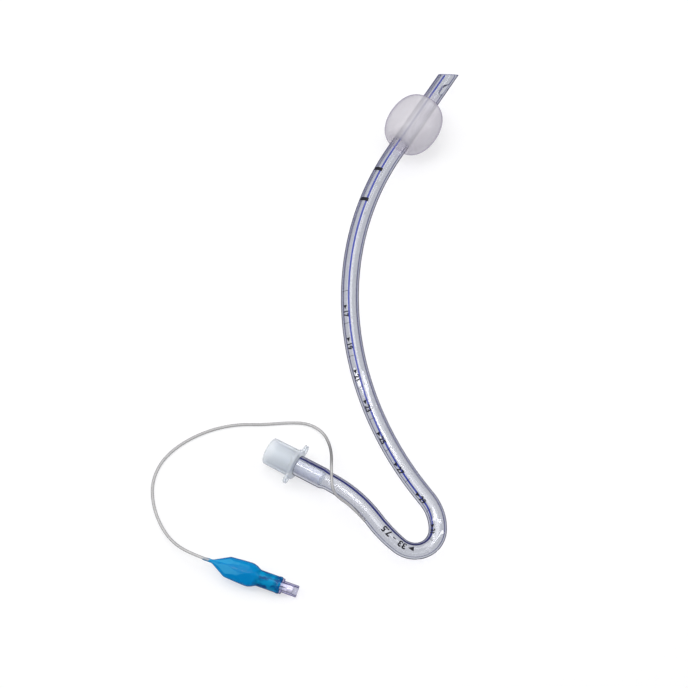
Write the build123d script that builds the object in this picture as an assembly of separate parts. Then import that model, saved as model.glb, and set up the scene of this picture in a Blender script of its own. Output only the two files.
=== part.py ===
from build123d import *
import math
import os

# All sizes are in millimetres and degrees.

# Airway tube, a clear extrusion with a channel and a blue line in its wall
BORE = 7.5                  # the size that the tube is sold by
WALL = 1.35
TIP_ROUNDING = 0.4          # edges of the bevelled opening, so that they don't scratch
BEVEL_ANGLE = 45.0          # between the opening and the tube's axis
BEVEL_FACING = 140.0        # round the tube, from its left side over the top
CHANNEL_BORE = 0.7          # carries air from the inflation line to the cuff
CHANNEL_PLUG = 22.0         # length of the channel that is filled at the tip
CHANNEL_FACING = 0.0
LINE_WIDTH = 1.0            # blue line that shows on an X-ray
LINE_DEPTH = 0.35
LINE_FACING = 110.0

# Side opening opposite the bevel
EYE_LENGTH = 8.6
EYE_WIDTH = 5.5
EYE_CENTRE = 9.5            # from the middle of the bevelled opening
EYE_FACING = -40.0

# Centre line of the tube, from the middle of the bevelled opening
START_HEADING = -121.0      # of the tip, seen from above, from the X axis
TIP_RUN = 64.5
THROAT_RADIUS = 183.7
THROAT_TURN = 69.7
CHIN_RUN = 5.3
CHIN_BENDS = [(26.0, 40.6), (13.3, 126.4), (78.0, 14.2)]   # radius and turn of the tight bend's stretches
FOREHEAD_RADIUS = 76.0
FOREHEAD_TURN = 25.5
FOREHEAD_FACING = -33.0     # turns to the left and a little downwards
END_RUN = 1.0               # straight stretch before the tube widens over the connector

# Tube end, stretched over the connector's stem
STRETCHED_WALL = 1.35
STRETCH_TAPER = 3.0
END_ROUNDING = 0.3

# Notch that the inflation line is bonded into
NOTCH_LENGTH = 9.0
NOTCH_POSITION = 7.0        # along the last bend, from its start to the middle of the notch
NOTCH_DEPTH = 1.15          # below the outside of the tube

# Cuff, a film balloon on two collars
CUFF_START = 22.5           # from the middle of the bevelled opening to the film's first shoulder
CUFF_LENGTH = 35.7
CUFF_DIAMETER = 32.0
CUFF_FILM = 0.15
CUFF_FULLNESS = 0.6         # 0.55 would be an oval
COLLAR_LENGTH = 6.3
VENT_LENGTH = 2.4           # opening from the wall's channel into the cuff
VENT_WIDTH = 1.2

# Connector, one moulding
CONE_MOUTH_DIAMETER = 15.4
CONE_TAPER = 1 / 40         # of the diameter
CONE_LENGTH = 16.1
CONE_ROOT_LENGTH = 4.0      # untapered part beside the flange
CONE_WALL = 1.35
MOUTH_ROUNDING = 0.4
FLANGE_DIAMETER = 17.5
FLANGE_THICKNESS = 2.0
FLANGE_CHAMFER = 0.35
FLANGE_GAP = 0.4            # from the tube's end to the flange
SOCKET_FLOOR = 3.4          # from the flange's back to where the wide bore narrows
SOCKET_FUNNEL = 3.0
STEM_DIAMETER = 9.0
STEM_BORE = 7.0
STEM_LENGTH = 16.0          # inside the tube
STEM_CHAMFER = 0.5
LUG_REACH = 12.9            # from the axis to the tip of a lug
LUG_RADIUS = 3.4
LUG_HOLE_DIAMETER = 3.2
LUG_RIM = 0.9               # of the lug outside its hole
LUG_THICKNESS = 1.6
LUG_ROOT_GAP = 1.0          # from the stem to the inner end of a lug

# Cutting
PAST_FACE = 1.0             # how far a cutter runs past the face that it opens

# Inflation line
LINE_TUBE_DIAMETER = 1.6

# Pilot balloon, one blue film piece from the line's neck to the valve's sleeve
NECK_BORE = 1.6
FILM = 0.25
NECK_LENGTH = 5.7
LINE_IN_NECK = 4.0
LINE_END_GAP = 0.3          # between the line's end and the end of its notch
BALLOON_FRONT = 14.5        # from the neck's end to the first full width
BALLOON_FRONT_WIDTH = 12.0
BALLOON_FRONT_HEIGHT = 8.4
BALLOON_BACK = 27.5
BALLOON_BACK_WIDTH = 13.4
BALLOON_BACK_HEIGHT = 12.0
SLEEVE_START = 32.3
SLEEVE_LENGTH = 12.7
SLEEVE_LIP = 1.6            # thicker end of the sleeve
SLEEVE_LIP_RISE = 0.2

# Valve housing
HOUSING_DIAMETER = 8.7      # inside the film's sleeve
HOUSING_START = 31.0
CHAMBER_DIAMETER = 6.2
SEAT_POSITION = 42.0
PORT_DIAMETER = 6.5
PORT_END = 54.8
PORT_SHOULDER = 46.4
SYRINGE_BORE = 4.3
SYRINGE_BORE_DEPTH = 2.6
GUIDE_DIAMETER = 3.9

# Poppet, its seal, spring and retainer
RUNNING_CLEARANCE = 0.08    # between the poppet's head and its guide, all round
SEAT_CLEARANCE = 0.02       # between the closed seal and its seat
TRAVEL = 1.5                # of the poppet when a syringe presses it
HEAD_LENGTH = 3.4
HEAD_DEPTH = 2.8            # of the head's top below the port's mouth
FLUTE_RADIUS = 0.45
FIN_THICKNESS = 0.8
STEM_FIN_DIAMETER = 3.5
SEAL_DIAMETER = 5.2
SEAL_BORE = 2.6
SEAL_THICKNESS = 1.4
POPPET_DISC_DIAMETER = 4.8
POPPET_DISC_THICKNESS = 1.0
BOSS_DIAMETER = 2.2
BOSS_CLEARANCE = 0.1        # between the boss and the retainer when the poppet is fully pressed
SPRING_DIAMETER = 3.8       # at the middle of the wire
SPRING_WIRE = 0.3
SPRING_TURNS = 5
SPRING_SEAT_CLEARANCE = 0.02
RETAINER_THICKNESS = 1.6
RETAINER_VENT = 1.0
RETAINER_VENTS = 4
RETAINER_VENT_CIRCLE = 4.2
RETAINER_START = 31.6

# Place of the pilot balloon's neck and the way it points, seen from above
PILOT_POSITION = (-88.7, -152.4)
PILOT_HEADING = -19.2

# Route of the inflation line, chosen by hand: out of the notch, over the tube, down to the floor
# and round to the pilot
LINE_ROUTE = [
    (-7.7, -124.2, 12.2), (-16.8, -119.8, 17.6), (-18.6, -115.2, 21.0), (-18.8, -104.5, 21.2),
    (-18.7, -95.3, 14.6), (-19.9, -85.6, 6.6), (-23.6, -76.2, 1.6), (-32.0, -70.6, 0.85),
    (-43.5, -70.2, 0.85), (-57.0, -71.4, 0.85), (-71.5, -71.2, 0.85), (-85.0, -74.0, 0.85),
    (-97.0, -79.2, 0.85), (-107.4, -86.4, 0.85), (-114.8, -95.2, 0.85), (-118.6, -106.5, 0.85),
    (-117.6, -119.0, 0.85), (-113.2, -131.0, 1.0), (-106.1, -141.9, 4.2), (-96.2, -149.8, 8.5),
]
CORNER_SHARE = 0.45         # of the shorter run beside a corner, taken up by the corner's arc

# How the tube's rest on the floor is worked out
BEND_SAMPLES = 12           # rings looked at in each stretch of the tight bend
SETTLING_ROUNDS = 8

TUBE_RADIUS = BORE / 2 + WALL
STEM_RADIUS = STEM_DIAMETER / 2
STRETCHED_RADIUS = STEM_RADIUS + STRETCHED_WALL


def direction(plane, facing):
    """Unit vector square to the tube, at an angle round it from its left side over the top."""
    angle = math.radians(facing)
    return plane.x_dir * math.cos(angle) + plane.y_dir * math.sin(angle)


class Straight:
    """A straight stretch of the centre line. A section plane's Z axis points along the tube."""

    def __init__(self, start, length):
        self.start = start
        self.length = length
        self.end = self.at(length)

    def at(self, distance):
        return Plane(self.start.origin + self.start.z_dir * distance, self.start.x_dir, self.start.z_dir)

    def solid(self, face):
        return extrude(self.start * face, amount=self.length, dir=self.start.z_dir)


class Bend:
    """A round stretch of the centre line, which turns towards one side of the tube."""

    def __init__(self, start, radius, turn, facing):
        self.start = start
        self.radius = radius
        self.turn = turn
        self.towards = direction(start, facing)
        self.centre = start.origin + self.towards * radius
        self.axis = Axis(self.centre, start.z_dir.cross(self.towards))
        self.length = radius * math.radians(turn)
        self.end = self.at(self.length)

    def at(self, distance):
        turned = math.degrees(distance / self.radius)
        origin = self.centre - self.towards.rotate(self.axis, turned) * self.radius
        x_dir = self.start.x_dir.rotate(self.axis, turned)
        return Plane(origin, x_dir, self.start.z_dir.rotate(self.axis, turned))

    def solid(self, face):
        return revolve(self.start * face, axis=self.axis, revolution_arc=self.turn)


def centre_line():
    """The tube's stretches after its tip, in the plane that the tube was bent in."""
    heading = math.radians(START_HEADING)
    ahead = Vector(math.cos(heading), math.sin(heading), 0)
    tip = Plane((0, 0, 0), x_dir=Vector(0, 0, 1).cross(ahead), z_dir=ahead)
    steps = [Straight(tip, TIP_RUN)]
    steps.append(Bend(steps[-1].end, THROAT_RADIUS, THROAT_TURN, 0))
    steps.append(Straight(steps[-1].end, CHIN_RUN))
    for radius, turn in CHIN_BENDS:
        steps.append(Bend(steps[-1].end, radius, turn, 180))
    steps.append(Bend(steps[-1].end, FOREHEAD_RADIUS, FOREHEAD_TURN, FOREHEAD_FACING))
    steps.append(Straight(steps[-1].end, END_RUN))
    return steps


def ring(outer, inner):
    return Circle(outer) - Circle(inner)


def line_section(outer, depth):
    """Slice of the wall's outer layer that the blue line fills."""
    half = math.degrees(LINE_WIDTH / 2 / TUBE_RADIUS)
    outside = CenterArc((0, 0), outer, LINE_FACING - half, 2 * half)
    inside = CenterArc((0, 0), outer - depth, LINE_FACING - half, 2 * half)
    sides = [Line(outside @ 0, inside @ 0), Line(outside @ 1, inside @ 1)]
    return make_face([outside, inside] + sides)


def channel_section():
    middle = BORE / 2 + WALL / 2
    angle = math.radians(CHANNEL_FACING)
    return Pos(middle * math.cos(angle), middle * math.sin(angle)) * Circle(CHANNEL_BORE / 2)


def axial(plane):
    """Drawing plane through the tube's axis: X runs along the axis and Y is the radius."""
    return Plane(plane.origin, x_dir=plane.z_dir, z_dir=plane.x_dir)


def turned(outline, plane):
    """Solid of revolution of a drawing on the axial plane."""
    return revolve(axial(plane) * outline, axis=Axis(plane.origin, plane.z_dir))


def bevelled_tip(step):
    """Plain length of tube from its slanting opening, with rounded edges."""
    lead = TUBE_RADIUS / math.tan(math.radians(BEVEL_ANGLE)) + PAST_FACE
    blank = Straight(step.at(-lead), lead + step.length).solid(ring(TUBE_RADIUS, BORE / 2))
    angle = math.radians(BEVEL_ANGLE)
    facing = direction(step.start, BEVEL_FACING)
    outward = facing * math.cos(angle) - step.start.z_dir * math.sin(angle)
    cut = Plane(step.start.origin, x_dir=step.start.z_dir.cross(facing), z_dir=outward)
    waste = cut * Pos(0, 0, 2 * BORE) * Box(8 * BORE, 8 * BORE, 4 * BORE)
    blank = blank - waste
    edges = blank.edges().filter_by(GeomType.ELLIPSE)
    return fillet(edges, TIP_ROUNDING)


def eye_cutter(step):
    """Rounded slot from the bore out through one side of the wall."""
    middle = step.at(EYE_CENTRE)
    out = direction(middle, EYE_FACING)
    side = Plane(middle.origin, x_dir=middle.z_dir, z_dir=out)
    return extrude(side * SlotOverall(EYE_LENGTH, EYE_WIDTH), amount=2 * TUBE_RADIUS, dir=out)


def vent_cutter(step):
    """Opening from the wall's channel to the outside, under the cuff."""
    middle = step.at(CUFF_START + CUFF_LENGTH / 2)
    out = direction(middle, CHANNEL_FACING)
    floor = Plane(middle.origin + out * (BORE / 2 + WALL / 2), x_dir=middle.z_dir, z_dir=out)
    return extrude(floor * SlotOverall(VENT_LENGTH, VENT_WIDTH), amount=WALL, dir=out)


def notch_plane(step):
    """Place of the notch: Z runs along the tube and X out of its wall."""
    middle = step.at(NOTCH_POSITION)
    out = direction(middle, CHANNEL_FACING)
    radius = TUBE_RADIUS - NOTCH_DEPTH + LINE_TUBE_DIAMETER / 2
    return Plane(middle.origin + out * radius, x_dir=out, z_dir=middle.z_dir)


def notch_cutter(step):
    """Round-bottomed slot that the inflation line lies in."""
    middle = notch_plane(step)
    start = Plane(middle.origin - middle.z_dir * NOTCH_LENGTH / 2, middle.x_dir, middle.z_dir)
    slot = Circle(LINE_TUBE_DIAMETER / 2) + Pos(WALL, 0) * Rectangle(2 * WALL, LINE_TUBE_DIAMETER)
    return extrude(start * slot, amount=NOTCH_LENGTH, dir=start.z_dir)


def end_wall(plane):
    """Wall of the stretched end, drawn with the radius upwards."""
    full = STRETCH_TAPER + STEM_LENGTH
    points = [(0, BORE / 2), (0, TUBE_RADIUS), (STRETCH_TAPER, STRETCHED_RADIUS),
              (full - END_ROUNDING, STRETCHED_RADIUS), (full, STRETCHED_RADIUS - END_ROUNDING),
              (full, STEM_RADIUS), (STRETCH_TAPER, STEM_RADIUS), (STRETCH_TAPER / 2, BORE / 2)]
    return turned(make_face(Polyline(*points, close=True)), plane)


def end_line(plane):
    """The blue line's part in the stretched end."""
    full = STRETCH_TAPER + STEM_LENGTH
    outside = [(0, TUBE_RADIUS), (STRETCH_TAPER, STRETCHED_RADIUS),
               (full - END_ROUNDING, STRETCHED_RADIUS), (full, STRETCHED_RADIUS - END_ROUNDING)]
    inside = [(full, STRETCHED_RADIUS - LINE_DEPTH - END_ROUNDING / 2),
              (STRETCH_TAPER, STRETCHED_RADIUS - LINE_DEPTH), (0, TUBE_RADIUS - LINE_DEPTH)]
    layer = turned(make_face(Polyline(*outside, *inside, close=True)), plane)
    slice_face = line_section(2 * STRETCHED_RADIUS, 2 * STRETCHED_RADIUS - STEM_RADIUS / 2)
    return layer & extrude(plane * slice_face, amount=full, dir=plane.z_dir)


def airway_tube(steps):
    """The extruded tube and the blue line that was extruded with it."""
    tip = bevelled_tip(steps[0])
    lead = Straight(steps[0].at(-2 * TUBE_RADIUS), 2 * TUBE_RADIUS + TIP_RUN)
    tip_line = tip & lead.solid(line_section(TUBE_RADIUS, LINE_DEPTH))
    channel_start = Straight(steps[0].at(CHANNEL_PLUG), TIP_RUN - CHANNEL_PLUG)
    tip = tip - tip_line - channel_start.solid(channel_section())
    tip = tip - eye_cutter(steps[0]) - vent_cutter(steps[0])

    line = line_section(TUBE_RADIUS, LINE_DEPTH)
    section = ring(TUBE_RADIUS, BORE / 2) - line
    with_channel = section - channel_section()
    notched = steps[-2]
    walls = [tip] + [step.solid(with_channel) for step in steps[1:-2]]
    turn = math.degrees(NOTCH_POSITION / notched.radius)
    channel_end = Bend(notched.start, notched.radius, turn, FOREHEAD_FACING)
    walls.append(notched.solid(section) - channel_end.solid(channel_section()) - notch_cutter(notched))
    walls.append(steps[-1].solid(section))
    stretched_line = end_line(steps[-1].end)
    walls.append(end_wall(steps[-1].end) - stretched_line)
    lines = [tip_line] + [step.solid(line) for step in steps[1:]] + [stretched_line]
    return joined(walls), joined(lines)


def joined(solids):
    return solids[0].fuse(*solids[1:])


def cuff_outline(inset):
    """Half of the cuff's lengthwise section down to the tube's axis, inset for the film's inner side."""
    foot = TUBE_RADIUS + CUFF_FILM - inset
    crown = CUFF_DIAMETER / 2 - inset
    half = CUFF_LENGTH / 2
    rise = (crown - foot) * CUFF_FULLNESS
    reach = half * CUFF_FULLNESS
    low = Bezier((inset, foot), (inset, foot + rise), (half - reach, crown), (half, crown))
    high = Bezier((half, crown), (half + reach, crown), (CUFF_LENGTH - inset, foot + rise),
                  (CUFF_LENGTH - inset, foot))
    base = Polyline(high @ 1, (CUFF_LENGTH - inset, 0), (inset, 0), low @ 0)
    return make_face([low, high, base])


def cuff(step):
    """Film balloon: two short collars on the tube and a full round body between them."""
    start = step.at(CUFF_START)
    film = turned(cuff_outline(0), start) - turned(cuff_outline(CUFF_FILM), start)
    foot = TUBE_RADIUS + CUFF_FILM
    ends = Straight(step.at(CUFF_START - COLLAR_LENGTH), CUFF_LENGTH + 2 * COLLAR_LENGTH)
    collars = ends.solid(Circle(foot))
    middle = Straight(start, CUFF_LENGTH)
    collars = collars - middle.solid(Circle(2 * foot))
    return film + collars - ends.solid(Circle(TUBE_RADIUS))


def connector(plane):
    """Standard cone with a flange, a stem for the tube and two looped lugs, from the tube's end."""
    back = FLANGE_GAP
    front = back + FLANGE_THICKNESS
    mouth = front + CONE_LENGTH
    mouth_radius = CONE_MOUTH_DIAMETER / 2
    root_radius = mouth_radius + (CONE_LENGTH - CONE_ROOT_LENGTH) * CONE_TAPER / 2
    flange_radius = FLANGE_DIAMETER / 2
    narrow = back + SOCKET_FLOOR - SOCKET_FUNNEL
    outside = [(-STEM_LENGTH, STEM_RADIUS - STEM_CHAMFER), (STEM_CHAMFER - STEM_LENGTH, STEM_RADIUS),
               (back, STEM_RADIUS), (back, flange_radius - FLANGE_CHAMFER),
               (back + FLANGE_CHAMFER, flange_radius), (front - FLANGE_CHAMFER, flange_radius),
               (front, flange_radius - FLANGE_CHAMFER), (front, root_radius),
               (front + CONE_ROOT_LENGTH, root_radius),
               (mouth - MOUTH_ROUNDING, mouth_radius), (mouth, mouth_radius - MOUTH_ROUNDING)]
    inside = [(mouth, mouth_radius - CONE_WALL), (back + SOCKET_FLOOR, mouth_radius - CONE_WALL),
              (narrow, STEM_BORE / 2), (-STEM_LENGTH, STEM_BORE / 2)]
    body = turned(make_face(Polyline(*outside, *inside, close=True)), plane)
    return body + lug(plane, 1) + lug(plane, -1)


def lug(plane, side):
    """Flat loop beside the flange, for the ties that hold the tube."""
    base = Plane(plane.origin + plane.z_dir * (FLANGE_GAP + (FLANGE_THICKNESS - LUG_THICKNESS) / 2),
                 x_dir=plane.x_dir * side, z_dir=plane.z_dir)
    loop = Pos(LUG_REACH - LUG_RADIUS, 0) * Circle(LUG_RADIUS)
    hole = Pos(LUG_REACH - LUG_RIM - LUG_HOLE_DIAMETER / 2, 0) * Circle(LUG_HOLE_DIAMETER / 2)
    clear = Circle(STEM_RADIUS + LUG_ROOT_GAP)
    return extrude(base * (loop - hole - clear), amount=LUG_THICKNESS, dir=base.z_dir)


def lowest_on_ring(plane, radius, up):
    """Lowest point of a ring round the tube."""
    slope = up - plane.z_dir * up.dot(plane.z_dir)
    return plane.origin - slope.normalized() * radius


def floor_under(steps):
    """Surface that the tube comes to rest on: under the cuff, the tight bend and the connector's mouth."""
    up = Vector(0, 0, 1)
    crown = steps[0].at(CUFF_START + CUFF_LENGTH / 2)
    mouth_distance = END_RUN + STRETCH_TAPER + STEM_LENGTH + FLANGE_GAP + FLANGE_THICKNESS + CONE_LENGTH
    mouth = steps[-1].at(mouth_distance - MOUTH_ROUNDING)
    shares = [number / BEND_SAMPLES for number in range(BEND_SAMPLES + 1)]
    bends = [step.at(step.length * share) for step in steps[3:6] for share in shares]
    for _ in range(SETTLING_ROUNDS):
        under_cuff = lowest_on_ring(crown, CUFF_DIAMETER / 2, up)
        rings = [lowest_on_ring(plane, TUBE_RADIUS, up) for plane in bends]
        under_bend = min(rings, key=lambda point: point.dot(up))
        under_mouth = lowest_on_ring(mouth, CONE_MOUTH_DIAMETER / 2, up)
        up = (under_mouth - under_bend).cross(under_cuff - under_bend).normalized()
        if up.Z < 0:
            up = up * -1
    ahead = Vector(1, 0, 0)
    ahead = (ahead - up * ahead.dot(up)).normalized()
    return Plane(under_bend, x_dir=ahead, z_dir=up)


def pilot_section(distance, width, height, inset):
    """Oval across the balloon. The pilot pieces are drawn along X, from the neck's end."""
    across = Plane((distance, 0, 0), x_dir=(0, 1, 0), z_dir=(1, 0, 0))
    if width == height:
        return across * Circle(width / 2 - inset)
    return across * Ellipse(width / 2 - inset, height / 2 - inset)


def pilot_film(inset):
    """Outside of the balloon, or its inside if inset by the film's thickness."""
    neck = NECK_BORE + 2 * FILM
    sleeve = HOUSING_DIAMETER + 2 * FILM
    spans = [(NECK_LENGTH, neck, neck), (BALLOON_FRONT, BALLOON_FRONT_WIDTH, BALLOON_FRONT_HEIGHT),
             (BALLOON_BACK, BALLOON_BACK_WIDTH, BALLOON_BACK_HEIGHT), (SLEEVE_START, sleeve, sleeve)]
    front = loft([pilot_section(*spans[0], inset), pilot_section(*spans[1], inset)])
    middle = loft([pilot_section(*spans[1], inset), pilot_section(*spans[2], inset)])
    back = loft([pilot_section(*spans[2], inset), pilot_section(*spans[3], inset)])
    return joined([front, middle, back])


def round_bar(start, end, diameter):
    """Cylinder along the pilot's axis."""
    across = Plane((start, 0, 0), x_dir=(0, 1, 0), z_dir=(1, 0, 0))
    return extrude(across * Circle(diameter / 2), amount=end - start)


def pilot_balloon():
    """Blue film: a neck on the line, a flattened balloon and a sleeve over the valve."""
    neck = round_bar(0, NECK_LENGTH, NECK_BORE + 2 * FILM)
    sleeve_end = SLEEVE_START + SLEEVE_LENGTH
    sleeve = round_bar(SLEEVE_START, sleeve_end, HOUSING_DIAMETER + 2 * FILM)
    lip = round_bar(sleeve_end - SLEEVE_LIP, sleeve_end, HOUSING_DIAMETER + 2 * FILM + 2 * SLEEVE_LIP_RISE)
    outside = joined([neck, pilot_film(0), sleeve, lip])
    inside = joined([round_bar(-PAST_FACE, NECK_LENGTH, NECK_BORE), pilot_film(FILM),
                     round_bar(SLEEVE_START, sleeve_end + PAST_FACE, HOUSING_DIAMETER)])
    return outside - inside


def valve_body():
    """Clear housing: a chamber for the spring, a seat, a guide for the poppet and a syringe port."""
    blank = round_bar(HOUSING_START, PORT_SHOULDER, HOUSING_DIAMETER)
    blank = blank + round_bar(HOUSING_START, PORT_END, PORT_DIAMETER)
    chamber = round_bar(HOUSING_START - PAST_FACE, SEAT_POSITION, CHAMBER_DIAMETER)
    guide = round_bar(SEAT_POSITION, PORT_END, GUIDE_DIAMETER)
    port = round_bar(PORT_END - SYRINGE_BORE_DEPTH, PORT_END, SYRINGE_BORE)
    return blank - chamber - guide - port


def valve_poppet():
    """White stem that a syringe pushes in: fluted head, crossed fins, seal groove and spring boss."""
    head_end = PORT_END - HEAD_DEPTH
    head_start = head_end - HEAD_LENGTH
    head_radius = GUIDE_DIAMETER / 2 - RUNNING_CLEARANCE
    head = round_bar(head_start, head_end, 2 * head_radius)
    for turn in (0, 90, 180, 270):
        flute = round_bar(head_start - PAST_FACE, head_end + PAST_FACE, 2 * FLUTE_RADIUS)
        head = head - Rot(turn, 0, 0) * Pos(0, head_radius, 0) * flute
    seal_end = SEAT_POSITION - SEAT_CLEARANCE
    seal_start = seal_end - SEAL_THICKNESS
    fins_length = head_start - seal_end
    fin = Pos(seal_end + fins_length / 2, 0, 0) * Box(fins_length, STEM_FIN_DIAMETER, FIN_THICKNESS)
    core = round_bar(seal_start, seal_end, SEAL_BORE)
    disc = round_bar(seal_start - POPPET_DISC_THICKNESS, seal_start, POPPET_DISC_DIAMETER)
    boss_start = RETAINER_START + RETAINER_THICKNESS + TRAVEL + BOSS_CLEARANCE
    boss = round_bar(boss_start, seal_start - POPPET_DISC_THICKNESS, BOSS_DIAMETER)
    return joined([head, fin, Rot(90, 0, 0) * fin, core, disc, boss])


def valve_seal():
    seal_end = SEAT_POSITION - SEAT_CLEARANCE
    start = seal_end - SEAL_THICKNESS
    bore = round_bar(start - PAST_FACE, seal_end + PAST_FACE, SEAL_BORE)
    return round_bar(start, seal_end, SEAL_DIAMETER) - bore


def valve_retainer():
    """Perforated plug in the chamber's open end, which the spring stands on."""
    end = RETAINER_START + RETAINER_THICKNESS
    plug = round_bar(RETAINER_START, end, CHAMBER_DIAMETER)
    vent = round_bar(RETAINER_START - PAST_FACE, end + PAST_FACE, RETAINER_VENT)
    for number in range(RETAINER_VENTS):
        turn = 360 * number / RETAINER_VENTS
        plug = plug - Rot(turn, 0, 0) * Pos(0, RETAINER_VENT_CIRCLE / 2, 0) * vent
    return plug - vent


def valve_spring():
    """Wire coil between the retainer and the poppet's disc."""
    low = RETAINER_START + RETAINER_THICKNESS + SPRING_SEAT_CLEARANCE + SPRING_WIRE / 2
    disc = SEAT_POSITION - SEAT_CLEARANCE - SEAL_THICKNESS - POPPET_DISC_THICKNESS
    high = disc - SPRING_SEAT_CLEARANCE - SPRING_WIRE / 2
    helix = Helix((high - low) / SPRING_TURNS, high - low, SPRING_DIAMETER / 2)
    profile = Plane(helix @ 0, z_dir=helix % 0) * Circle(SPRING_WIRE / 2)
    coil = sweep(profile, path=helix, is_frenet=True)
    return Pos(low, 0, 0) * Rot(0, 90, 0) * coil


def line_radii(points):
    """Radius of each corner's arc: as large as its two runs allow."""
    radii = []
    for before, corner, after in zip(points, points[1:], points[2:]):
        turn = (corner - before).get_angle(after - corner)
        shorter = min((corner - before).length, (after - corner).length)
        radii.append(CORNER_SHARE * shorter / math.tan(math.radians(turn / 2)))
    return radii


def inflation_line(notch, neck):
    """Thin tube from the notch in the airway tube's wall to the pilot balloon's neck."""
    start = notch.origin - notch.z_dir * (NOTCH_LENGTH / 2 - LINE_END_GAP)
    end = neck.origin + neck.x_dir * LINE_IN_NECK
    points = [start] + [Vector(*point) for point in LINE_ROUTE] + [end]
    radii = line_radii(points)
    route = FilletPolyline(*points, radius=radii)
    section = Plane(start, z_dir=points[1] - start) * Circle(LINE_TUBE_DIAMETER / 2)
    line = sweep(section, path=route)
    expected = math.pi * (LINE_TUBE_DIAMETER / 2) ** 2 * route.length
    print("inflation line length", round(route.length, 1), "least radius", round(min(radii), 1))
    print("inflation line radii", [round(radius, 1) for radius in radii])
    print("inflation line volume", round(line.volume, 2), "from its length", round(expected, 2))
    print("inflation line starts at", start, "and ends at", end)
    return line


def pilot_place():
    """Lays the pilot on the floor, where it rests on its balloon's back and its sleeve's lip."""
    back = BALLOON_BACK_HEIGHT / 2
    lip = HOUSING_DIAMETER / 2 + FILM + SLEEVE_LIP_RISE
    dip = math.degrees(math.asin((back - lip) / (SLEEVE_START + SLEEVE_LENGTH - BALLOON_BACK)))
    lift = back / math.cos(math.radians(dip)) + BALLOON_BACK * math.sin(math.radians(dip))
    return Location((*PILOT_POSITION, lift)) * Rot(0, 0, PILOT_HEADING) * Rot(0, dip, 0)


def build():
    steps = centre_line()
    tube, line = airway_tube(steps)
    tube_end = steps[-1].at(END_RUN + STRETCH_TAPER + STEM_LENGTH)
    laid = {"airway_tube": tube, "radiopaque_line": line, "cuff": cuff(steps[0]),
            "connector": connector(tube_end)}
    settle = floor_under(steps).location.inverse()
    boxes = [(settle * piece).bounding_box() for piece in laid.values()]
    middle_x = (min(box.min.X for box in boxes) + max(box.max.X for box in boxes)) / 2
    middle_y = (min(box.min.Y for box in boxes) + max(box.max.Y for box in boxes)) / 2
    place = Pos(-middle_x, -middle_y, -min(box.min.Z for box in boxes)) * settle
    pieces = {name: place * piece for name, piece in laid.items()}

    pilot = {"pilot_balloon": pilot_balloon(), "valve_body": valve_body(),
             "valve_retainer": valve_retainer(), "valve_spring": valve_spring(),
             "valve_poppet": valve_poppet(), "valve_seal": valve_seal()}
    for name, piece in pilot.items():
        pieces[name] = pilot_place() * piece
    notch = Plane(place * notch_plane(steps[-2]).location)
    pieces["inflation_line"] = inflation_line(notch, Plane(pilot_place()))

    mouth = Plane(place * tube_end.location)
    print("tube end at", mouth.origin, "pointing", mouth.z_dir, "left", mouth.x_dir)
    print("pilot neck at", Plane(pilot_place()).origin, "pointing", Plane(pilot_place()).x_dir)
    return pieces, steps, place


pieces, steps, place = build()
os.makedirs("parts", exist_ok=True)
for name, piece in pieces.items():
    export_step(piece, f"parts/{name}.step")
    print(name, "volume", round(piece.volume, 2))
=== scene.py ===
import math
import bmesh
import bpy
import numpy as np
from mathutils import Matrix, Vector


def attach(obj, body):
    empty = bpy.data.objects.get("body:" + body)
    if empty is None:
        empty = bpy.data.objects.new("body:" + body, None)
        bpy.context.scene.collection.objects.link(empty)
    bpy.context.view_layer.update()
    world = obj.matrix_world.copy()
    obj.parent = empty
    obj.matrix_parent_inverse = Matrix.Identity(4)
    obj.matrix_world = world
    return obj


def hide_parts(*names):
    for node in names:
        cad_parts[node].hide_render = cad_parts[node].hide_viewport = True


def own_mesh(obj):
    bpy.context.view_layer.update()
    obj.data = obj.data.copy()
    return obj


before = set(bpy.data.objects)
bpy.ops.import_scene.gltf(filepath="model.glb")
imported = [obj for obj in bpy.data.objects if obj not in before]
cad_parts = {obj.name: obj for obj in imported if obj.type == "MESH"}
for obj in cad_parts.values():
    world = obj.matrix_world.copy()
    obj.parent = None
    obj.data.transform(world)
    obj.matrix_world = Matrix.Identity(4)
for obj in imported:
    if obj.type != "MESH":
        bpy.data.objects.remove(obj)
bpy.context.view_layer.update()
scene = bpy.context.scene

# Sizes are in millimetres, as in the CAD source, and MM turns them into metres.
MM = 0.001
BORE_RADIUS = 3.75
TUBE_RADIUS = 5.1
STEM_RADIUS = 4.5
STRETCHED_RADIUS = 5.85
TUBE_LENGTH = 414.2
STRETCH_START = 395.2
STRETCH_TAPER = 3.0
BEVEL_FACING = math.radians(131)
EYE_FACING = math.radians(-40)
EYE_CENTRE = 9.5
EYE_LENGTH = 8.6
EYE_WIDTH = 5.5
CUFF_START = 25.3
CUFF_LENGTH = 33.6
CUFF_RADIUS = 15.7
CUFF_FILM = 0.15
COLLAR_LENGTH = 6.3

# Blue line in the wall and print on it
BLUE_WIDTH = 1.0
BLUE_DEPTH = 0.35
INK_LIFT = 0.03

# Connector, measured from the tube's end
STEM_LENGTH = 16.0
STEM_GAP = 0.03
STEM_BORE_RADIUS = 3.5
FLANGE_START = 0.4
FLANGE_END = 2.4
FLANGE_RADIUS = 8.75
CONE_ROOT_END = 6.4
CONE_ROOT_RADIUS = 7.851
CONE_END = 18.5
CONE_MOUTH_RADIUS = 7.7
SOCKET_RADIUS = 6.35
FUNNEL_START = 0.8
FUNNEL_END = 3.8
LUG_CENTRE = 9.5
LUG_RADIUS = 3.4
LUG_HOLE_CENTRE = 10.4
LUG_HOLE_RADIUS = 1.6
LUG_START = 0.6
LUG_THICKNESS = 1.6

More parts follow.
